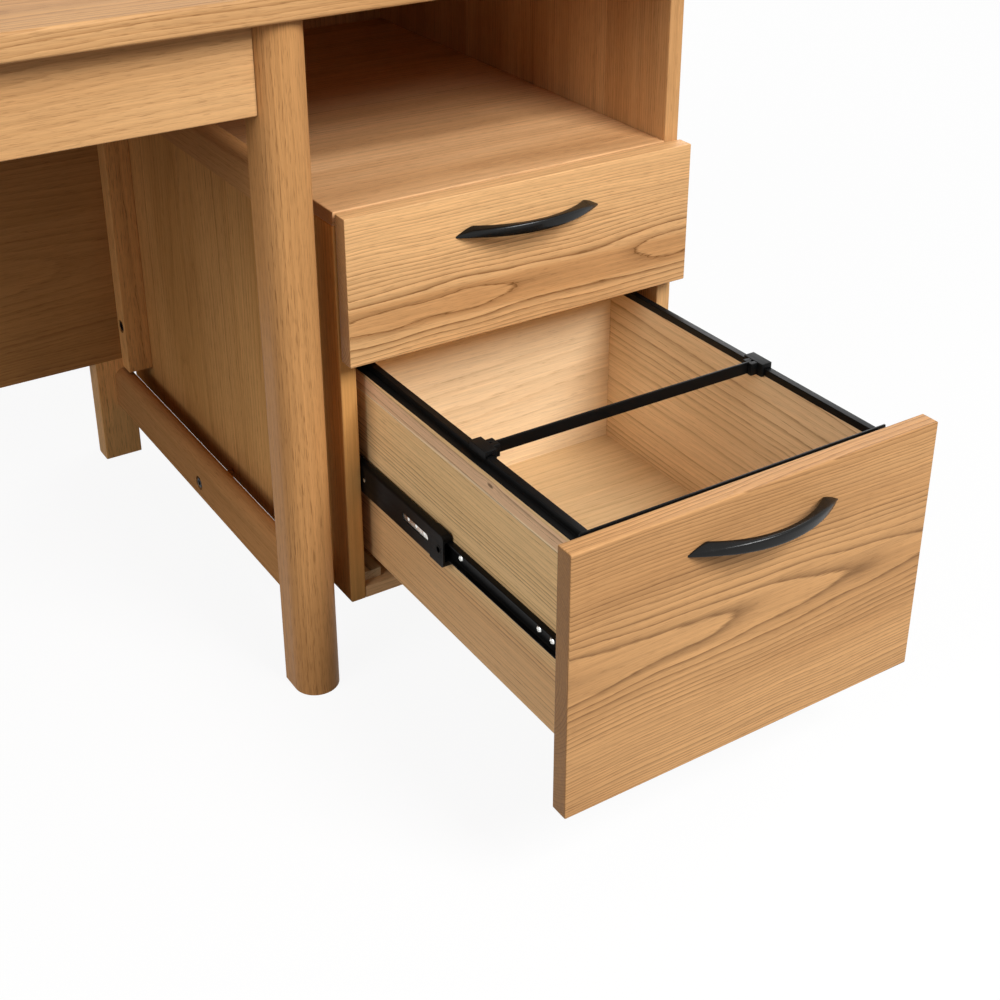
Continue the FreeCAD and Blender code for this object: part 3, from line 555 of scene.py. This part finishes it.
# black frame for hanging files on the open drawer: each side rail is a flat foot with a raised rib along its
# inner edge, and a thin spline below it that sits in a groove in the drawer side
fileRail = {"rise": 7.9, "sheet": 1.2, "rib": 7.4, "splineFrom": 6.0, "spline": 2.0, "round": 0.5,
            "ease": 0.3}
railLow, railHigh = boxMm("file_rail_left")
railFoot = railHigh[2] - fileRail["rise"]
footTop = railFoot + fileRail["sheet"]
ribLeft = railHigh[0] - fileRail["rib"]
splineLeft = railLow[0] + fileRail["splineFrom"]
splineRight = splineLeft + fileRail["spline"]
railLoop = roundedLine([(railLow[0], railFoot), (splineLeft, railFoot), (splineLeft, railLow[2]),
                        (splineRight, railLow[2]), (splineRight, railFoot), (railHigh[0], railFoot),
                        (railHigh[0], railHigh[2]), (ribLeft, railHigh[2]), (ribLeft, footTop),
                        (railLow[0], footTop)], fileRail["round"], True)
railShell = easedBar(railLoop, railLow[1], railHigh[1], "y", fileRail["ease"])
makePiece("fileRailCapLeft", [railShell], "blackSteel", "file_drawer", ["file_rail_left"])
makePiece("fileRailCapRight", [mirrorShell(railShell, middleX * mm)], "blackSteel", "file_drawer",
          ["file_rail_right"])

frontStrip = {"ears": 13.5, "earRise": 4.0, "round": 1.0, "ease": 0.4}
stripLow, stripHigh = boxMm("file_rail_front")
earZ = stripHigh[2] - frontStrip["earRise"]
stripLine = roundedLine([(stripLow[0], earZ), (stripLow[0] + frontStrip["ears"], earZ),
                         (stripLow[0] + frontStrip["ears"], stripLow[2]),
                         (stripHigh[0] - frontStrip["ears"], stripLow[2]),
                         (stripHigh[0] - frontStrip["ears"], earZ), (stripHigh[0], earZ),
                         (stripHigh[0], stripHigh[2]), (stripLow[0], stripHigh[2])],
                        frontStrip["round"], True)
strip = easedBar(stripLine, stripLow[1], stripHigh[1], "y", frontStrip["ease"])
makePiece("fileRailStrip", [strip], "blackSteel", "file_drawer", ["file_rail_front"])

crossBar = {"round": 0.7}
barLow, barHigh = boxMm("hanging_cross_bar")
barLoop = roundedLine([(barLow[1], barLow[2]), (barHigh[1], barLow[2]), (barHigh[1], barHigh[2]),
                       (barLow[1], barHigh[2])], crossBar["round"], True)
makePiece("hangingBar", [carried(barLoop, [barLow[0], barHigh[0]], "x")], "blackSteel", "hanging_bar",
          ["hanging_cross_bar"])

# a clip's plate lies on the rib, with a small lip outside it and a leg inside; two cheeks hold the bar's end
barClip = {"lip": 1.0, "lipDrop": 2.5, "gap": 0.3, "leg": 3.8, "cheekReach": 8.0, "cheek": 5.7, "slack": 0.1,
           "round": 0.6, "ease": 0.45, "cheekSunk": 1.5, "cheekFoot": 0.6, "cheekTop": 0.4, "cheekEase": 0.5}
clipLow, clipHigh = boxMm("cross_bar_clips")
overRib = railHigh[2] + barClip["gap"]
legLeft = railHigh[0] + barClip["gap"]
legRight = legLeft + barClip["leg"]
lipRight = clipLow[0] + barClip["lip"]
lipFoot = railHigh[2] - barClip["lipDrop"]
clipLoop = roundedLine([(clipLow[0], lipFoot), (lipRight, lipFoot), (lipRight, overRib), (legLeft, overRib),
                        (legLeft, clipLow[2]), (legRight, clipLow[2]), (legRight, clipHigh[2]),
                        (clipLow[0], clipHigh[2])], barClip["round"], True)
clipShells = [easedBar(clipLoop, clipLow[1], clipHigh[1], "y", barClip["ease"])]
cheekLeft, cheekRight = legRight - barClip["cheekSunk"], legRight + barClip["cheekReach"]
cheekFoot, cheekTop = clipLow[2] + barClip["cheekFoot"], clipHigh[2] - barClip["cheekTop"]
cheekLoop = roundedLine([(cheekLeft, cheekFoot), (cheekRight, cheekFoot), (cheekRight, cheekTop),
                         (cheekLeft, cheekTop)], barClip["round"], True)
for cheekLow, cheekHigh in ((barLow[1] - barClip["cheek"], barLow[1] - barClip["slack"]),
                            (barHigh[1] + barClip["slack"], barHigh[1] + barClip["cheek"])):
    clipShells.append(easedBar(cheekLoop, cheekLow, cheekHigh, "y", barClip["cheekEase"]))
makePiece("hangingBarClips", bothSides(clipShells, middleX * mm), "blackPlastic", "hanging_bar",
          ["cross_bar_clips"])
print("hanging file frame made")

# ball slides: three bent members on each side of each drawer
ballSlide = {"sheet": 1.2, "outerLip": 3.2, "middleLip": 6.0, "innerHem": 1.0, "bend": 2.0, "slotHalf": 4.0,
             "slotFrom": 4.0, "slotLong": 52.0, "drawerScrews": (45.0, 66.0, 201.0, 393.0),
             "caseScrews": (30.0, 180.0, 380.0), "caseScrewTall": 1.6, "sunk": 0.1, "rivet": 137.0,
             "rivetRadii": (2.2, 2.1, 1.7, 1.0, 0.1), "rivetHeights": (0, 0.2, 0.25, 0.28, 0.28),
             "depth": {"slide_outer": 11.0, "slide_middle": 9.5, "slide_inner": 7.0}}
slideBumper = {"round": 5.0, "wall": 2.0, "hollowIn": 7.2, "edge": 1.3, "bossAt": 9.0,
               "bossRadii": (5.0, 4.8, 3.4, 3.2, 0.2), "bossHeights": (0.0, 0.5, 0.5, 0.1, 0.1)}
slideKeeper = {"sheet": 1.0, "round": 0.3, "balls": (0.22, 0.5, 0.78), "ballRadius": 3.0, "ballRise": 1.0,
               "ballSunk": 0.3, "ballLift": 1.0}


def bentMember(node, towards):
    # the measures of a C of bent sheet that is open towards the drawer (1) or away from it (-1)
    low, high = boxMm(node)
    b = ballSlide
    half = b["sheet"] / 2
    deep = b["depth"][node.split("_", 1)[1]]
    left, right = low[0] + half, low[0] + deep - half
    web, mouth = (left, right) if towards > 0 else (right, left)
    z = 0.5 * (low[2] + high[2])
    tall = 0.5 * (high[2] - low[2]) - half
    return low, high, z, web, mouth, tall


def slideSet(name, drawerBody, middleBody):
    b = ballSlide
    steel, zinc = ("blackSteel", "black_steel"), ("brightZinc", "zinc")
    low, high, z, web, mouth, tall = bentMember(name + "_slide_outer", 1)
    loop = sheetLoop([(mouth, z + tall - b["outerLip"]), (mouth, z + tall), (web, z + tall), (web, z - tall),
                      (mouth, z - tall), (mouth, z - tall + b["outerLip"])], b["bend"], b["sheet"])
    outer = [carried(loop, [low[1], high[1]], "y")]
    makePiece(name + "SlideOuter", bothSides(outer, middleX * mm), steel[0], "desk",
              [name + "_slide_outer"])

    low, high, z, web, mouth, tall = bentMember(name + "_slide_middle", 1)
    loop = sheetLoop([(mouth, tall - b["middleLip"]), (mouth, tall), (web, tall), (web, 0.0)], b["bend"],
                     b["sheet"])
    turn = np.linspace(0, 0.5 * np.pi, 9)
    slotFront, slotBack = low[1] + b["slotFrom"], low[1] + b["slotFrom"] + b["slotLong"]
    run = np.concatenate([[low[1]], slotFront + b["slotHalf"] * (1 - np.cos(turn)),
                          slotBack - b["slotHalf"] * (1 - np.cos(turn))[::-1], [high[1]]])
    gap = np.concatenate([[0], b["slotHalf"] * np.sin(turn), b["slotHalf"] * np.sin(turn)[::-1], [0]])
    sections = np.repeat(loop[None], len(run), axis=0)
    atSlot = np.abs(loop[:, 1]) < 1e-6  # the free edge of each half follows the slot's outline
    sections[:, atSlot, 1] = gap[:, None]
    halves = [loopShell(stood(sections * (1, side) + (0, z), run, "y")) for side in (1, -1)]
    makePiece(name + "SlideMiddle", bothSides(halves, middleX * mm), steel[0], middleBody,
              [name + "_slide_middle"])

    bumpLow, bumpHigh = boxMm(name + "_slide_bumpers")
    wide = low[0] + b["depth"]["slide_middle"]
    inside = bumpLow[0] + slideBumper["wall"]
    tallBump = 0.5 * (bumpHigh[2] - bumpLow[2])
    hollow = tall + b["sheet"] / 2 - slideBumper["hollowIn"]
    loop = roundedLine([(bumpLow[0], -tallBump), (wide, -tallBump), (wide, -hollow), (inside, -hollow),
                        (inside, hollow), (wide, hollow), (wide, tallBump), (bumpLow[0], tallBump)],
                       slideBumper["edge"], True)
    turn = np.linspace(0, 0.5 * np.pi, 8)
    run = np.concatenate([bumpLow[1] + slideBumper["round"] * (1 - np.cos(turn)), [bumpHigh[1]]])
    limit = np.concatenate([tallBump - slideBumper["round"] * (1 - np.sin(turn)), [tallBump]])[:, None]
    sections = np.repeat(loop[None], len(run), axis=0)
    sections[..., 1] = np.clip(sections[..., 1], -limit, limit) + z
    boss = turnedShell((bumpLow[0] + b["sunk"], bumpLow[1] + slideBumper["bossAt"], z), (-1, 0, 0),
                       slideBumper["bossRadii"], slideBumper["bossHeights"])
    bumper = [loopShell(stood(sections, run, "y")), boss]
    makePiece(name + "SlideBumpers", bothSides(bumper, middleX * mm), "blackPlastic", middleBody,
              [name + "_slide_bumpers"])

    keepLow, keepHigh = boxMm(name + "_slide_retainers")
    k = slideKeeper
    keepRight = keepLow[0] + k["sheet"]
    loop = roundedLine([(keepLow[0], keepLow[2]), (keepRight, keepLow[2]), (keepRight, keepHigh[2]),
                        (keepLow[0], keepHigh[2])], k["round"], True)
    keeper = [easedBar(loop, keepLow[1], keepHigh[1], "y", k["round"])]
    dome = np.linspace(0.04, 1.0, 8)
    for place in k["balls"]:  # bearing balls that show through the slot
        y = keepLow[1] + place * (keepHigh[1] - keepLow[1])
        keeper.append(turnedShell((keepLow[0] + k["ballSunk"], y, z + k["ballLift"]), (-1, 0, 0),
                                  k["ballRadius"] * np.sin(dome * np.pi / 2),
                                  k["ballRise"] * np.cos(dome * np.pi / 2)))
    rivet = turnedShell((low[0] + b["sunk"], low[1] + b["rivet"], z), (-1, 0, 0), b["rivetRadii"],
                        b["rivetHeights"])
    makePiece(name + "SlideRetainers", bothSides(keeper + [rivet], middleX * mm), zinc[0], middleBody,
              [name + "_slide_retainers"])

    low, high, z, web, mouth, tall = bentMember(name + "_slide_inner", -1)
    loop = sheetLoop([(mouth, z + tall - b["innerHem"]), (mouth, z + tall), (web, z + tall), (web, z - tall),
                      (mouth, z - tall), (mouth, z - tall + b["innerHem"])], b["bend"], b["sheet"])
    inner = [carried(loop, [low[1], high[1]], "y")]
    makePiece(name + "SlideInner", bothSides(inner, middleX * mm), steel[0], drawerBody,
              [name + "_slide_inner"])
    heads = [domedScrew((web - b["sheet"] / 2, low[1] + place, z), (-1, 0, 0)) for place in b["drawerScrews"]]
    makePiece(name + "SlideScrews", bothSides(heads, middleX * mm), zinc[0], drawerBody,
              [name + "_slide_screws"])
    outerLow = boxMm(name + "_slide_outer")[0]
    return [domedScrew((outerLow[0] + b["sunk"], outerLow[1] + place, z), (1, 0, 0), b["caseScrewTall"])
            for place in b["caseScrews"]]


caseHeads = slideSet("top", "top_drawer", "top_slide_middle")
caseHeads += slideSet("file", "file_drawer", "file_slide_middle")
makePiece("slideCaseScrews", bothSides(caseHeads, middleX * mm), "brightZinc", "desk",
          ["slide_case_screws"])
print("ball slides made")

# fasteners and small fittings
for name, body in (("top", "top_drawer"), ("file", "file_drawer")):
    low, high = boxMm(name + "_handle_screws")
    heads = [domedScrew((x, high[1] - screwHead["tall"], 0.5 * (low[2] + high[2])), (0, 1, 0))
             for x in (low[0] + screwHead["radius"], high[0] - screwHead["radius"])]
    makePiece(name + "HandleScrews", heads, "brightZinc", body, [name + "_handle_screws"])

railFace = boxMm("right_lower_rail")[0]
spacerLow, spacerHigh = boxMm("pedestal_spacers")
boltY, boltZ = 0.5 * (spacerLow[1] + spacerHigh[1]), 0.5 * (spacerLow[2] + spacerHigh[2])
cleatLow, cleatHigh = boxMm("modesty_cleat")
frameBolt = {"sunk": 8.5, "inset": 64.0}
bolts = [socketHead((railFace[0] + frameBolt["sunk"], boltY, boltZ), (-1, 0, 0))]
cleatX, cleatY = cleatLow[0] + frameBolt["sunk"], 0.5 * (cleatLow[1] + cleatHigh[1])
for z in (cleatLow[2] + frameBolt["inset"], cleatHigh[2] - frameBolt["inset"]):
    bolts.append(socketHead((cleatX, cleatY, z), (-1, 0, 0)))
makePiece("frameBolts", bolts, "blackSteel", "desk", ["frame_bolts"])

# the spacer is a turned peg with a collar at each end
spacerPeg = {"chamfer": 0.8, "collar": 4.0}
spacerLong = spacerHigh[0] - spacerLow[0]
collarRadius = 0.5 * (spacerHigh[2] - spacerLow[2])
neckRadius = collarRadius - spacerPeg["chamfer"]
collarEnd = np.array([0, spacerPeg["chamfer"], spacerPeg["collar"],
                      spacerPeg["collar"] + spacerPeg["chamfer"]])
pegRadii = [neckRadius, collarRadius, collarRadius, neckRadius] * 2
pegHeights = np.concatenate([collarEnd, spacerLong - collarEnd[::-1]])
spacerShell = turnedShell((spacerLow[0], boltY, boltZ), (1, 0, 0), pegRadii, pegHeights)
makePiece("caseSpacer", [spacerShell], "legOak", "desk", ["pedestal_spacers"])

topBracket = {"leg": 30.0, "wide": 25.0, "sheet": 2.5, "bend": 4.0, "inset": 180.0, "hole": 18.0,
              "ease": 0.6}


def bracketShells(x, y, z, turn):
    # a bent plate in its own frame, with one screw in each leg, turned about the upright, set under the top
    b = topBracket
    half = b["sheet"] / 2
    loop = sheetLoop([(half, -b["leg"]), (half, -half), (b["leg"], -half)], b["bend"], b["sheet"])
    plate = easedBar(loop, -b["wide"] / 2, b["wide"] / 2, "x", b["ease"])
    screws = [domedScrew((0, b["sheet"], -b["hole"]), (0, 1, 0)),
              domedScrew((0, b["hole"], -b["sheet"]), (0, 0, -1))]
    c, s = math.cos(math.radians(turn)), math.sin(math.radians(turn))
    spin = np.array([[c, s, 0], [-s, c, 0], [0, 0, 1.0]])
    return [(points @ spin + np.array([x, y, z]) * mm, faces) for points, faces in [plate] + screws]


under = boxMm("desktop")[0][2]
apronLow, apronHigh = boxMm("front_apron")
rearLow = boxMm("rear_apron")[0]
leftTopRail, rightTopRail = boxMm("left_top_rail"), boxMm("right_top_rail")
sideFace = boxMm("pedestal_right_side")
middleY = 0.5 * (leftTopRail[0][1] + leftTopRail[1][1])
nearLeft, nearRight = apronLow[0] + topBracket["inset"], apronHigh[0] - topBracket["inset"]
places = [(nearLeft, apronHigh[1], 0), (nearRight, apronHigh[1], 0), (nearLeft, rearLow[1], 180),
          (nearRight, rearLow[1], 180), (leftTopRail[1][0], middleY, -90), (rightTopRail[0][0], middleY, 90),
          (sideFace[0][0], middleY, 90)]
brackets = [shell for x, y, turn in places for shell in bracketShells(x, y, under, turn)]
makePiece("topBrackets", brackets, "brightZinc", "desk", ["desktop_brackets"])
print("fasteners and fittings made")


studio = {"ambient": 0.13, "floorPale": 0.22, "floorSeen": 0.90, "floorGlow": 0.92,
          "floorRough": 0.9, "floorHalf": 14.0, "floorSink": 0.0006, "sensor": 36.0}


def seenDirectly(f):  # 1 for what the camera, a reflection or a glass sees, 0 for light that falls
    rays = f.node("LightPath", {}).outputs
    seen = f.math("MAXIMUM", rays["Is Camera Ray"], rays["Is Glossy Ray"])
    return f.math("MAXIMUM", seen, rays["Is Transmission Ray"])


class Surround(Finish):  # the world's node tree, with the same calls
    def __init__(self, world):
        world.use_nodes = True
        self.tree = world.node_tree
        self.surface = self.tree.nodes["Background"]


world = bpy.data.worlds.new("paleSurround")
scene.world = world
around = Surround(world)
around.surface.inputs["Color"].default_value = (1.0, 1.0, 1.0, 1.0)
strength = around.spread(seenDirectly(around), 0, 1, studio["ambient"], 1.0)
around.plug(around.surface.inputs["Strength"], strength)

floorFinish = Finish("paleFloor")
seen = seenDirectly(floorFinish)
pale = floorFinish.spread(seen, 0, 1, studio["floorPale"], studio["floorSeen"])
floorFinish.plug(floorFinish.surface.inputs["Base Color"], pale)
floorFinish.surface.inputs["Roughness"].default_value = studio["floorRough"]
glow = floorFinish.node("Emission", {"Color": (1.0, 1.0, 1.0, 1.0), "Strength": 1.0})
share = floorFinish.math("MULTIPLY", seen, studio["floorGlow"])
both = floorFinish.node("MixShader", {0: share, 1: floorFinish.surface.outputs[0], 2: glow.outputs[0]})
floorFinish.plug(floorFinish.tree.nodes["Material Output"].inputs["Surface"], both.outputs[0])
floorMesh = bpy.data.meshes.new("studioFloor")
half, level = studio["floorHalf"], -studio["floorSink"]
floorCorners = [(-half, -half, level), (half, -half, level), (half, half, level), (-half, half, level)]
floorMesh.from_pydata(floorCorners, [], [(0, 1, 2, 3)])
floorMesh.materials.append(floorFinish.material)
floor = bpy.data.objects.new("studioFloor", floorMesh)
scene.collection.objects.link(floor)

lamps = {
    "keyPanel": {"at": (1.35, -2.9, 3.0), "to": (0.40, -0.30, 0.35), "size": 1.6, "power": 158.0},
    "fillPanel": {"at": (-2.9, -1.1, 2.0), "to": (0.30, -0.20, 0.35), "size": 2.0, "power": 66.0},
    "rearPanel": {"at": (3.2, 2.4, 2.6), "to": (0.20, 0.20, 0.40), "size": 2.4, "power": 60.0},
}
for lampName, lamp in lamps.items():
    light = bpy.data.lights.new(lampName, "AREA")
    light.shape = "SQUARE"
    light.size = lamp["size"]
    light.energy = lamp["power"]
    made = bpy.data.objects.new(lampName, light)
    scene.collection.objects.link(made)
    aim = np.array(lamp["to"]) - np.array(lamp["at"])
    made.location = lamp["at"]
    made.rotation_euler = (math.acos(-aim[2] / np.linalg.norm(aim)), 0.0, math.atan2(-aim[0], aim[1]))

photoView = {"at": (-0.28709, -1.37602, 1.07595), "turn": (64.01, 0.0, -32.57), "lens": 56.07, "shift": -0.15}
eye = bpy.data.cameras.new("photoView")
eye.lens = photoView["lens"]
eye.sensor_width = studio["sensor"]
eye.shift_y = photoView["shift"]
eyeObject = bpy.data.objects.new("photoView", eye)
eyeObject.location = photoView["at"]
eyeObject.rotation_euler = [math.radians(a) for a in photoView["turn"]]
scene.collection.objects.link(eyeObject)
scene.camera = eyeObject
scene.view_settings.view_transform = "Standard"
print("studio ready")
